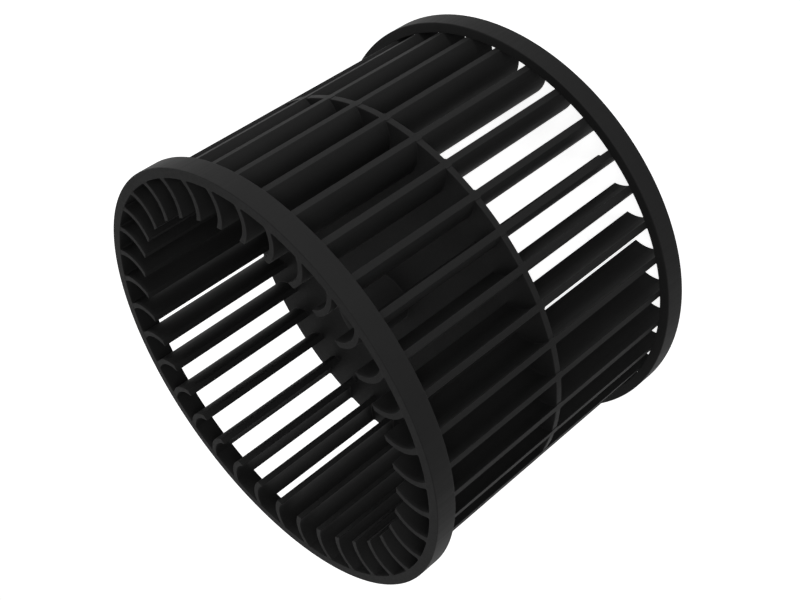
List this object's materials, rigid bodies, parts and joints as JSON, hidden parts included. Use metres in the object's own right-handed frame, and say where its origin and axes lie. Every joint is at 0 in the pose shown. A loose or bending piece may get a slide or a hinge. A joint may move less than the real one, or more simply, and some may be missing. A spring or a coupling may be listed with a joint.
{
  "type": "blower wheel",
  "caption": "Cylindrical blower wheel with curved blades between end rings, a disc across its middle and a bored boss for the motor shaft; draws air in at the ends and throws it outwards.",
  "frame": {"origin": "centre of the rear ring's end face, on the shaft axis", "axes": "+Z along the shaft axis from the rear ring to the front ring, the end with the taller boss; the chord of one blade lies along +X"},
  "size_m": [0.12, 0.12, 0.0904],
  "materials": {
    "black_plastic": "satin black moulded plastic"
  },
  "bodies": {
    "root": {"blower_wheel": "black_plastic"}
  },
  "joints": []
}
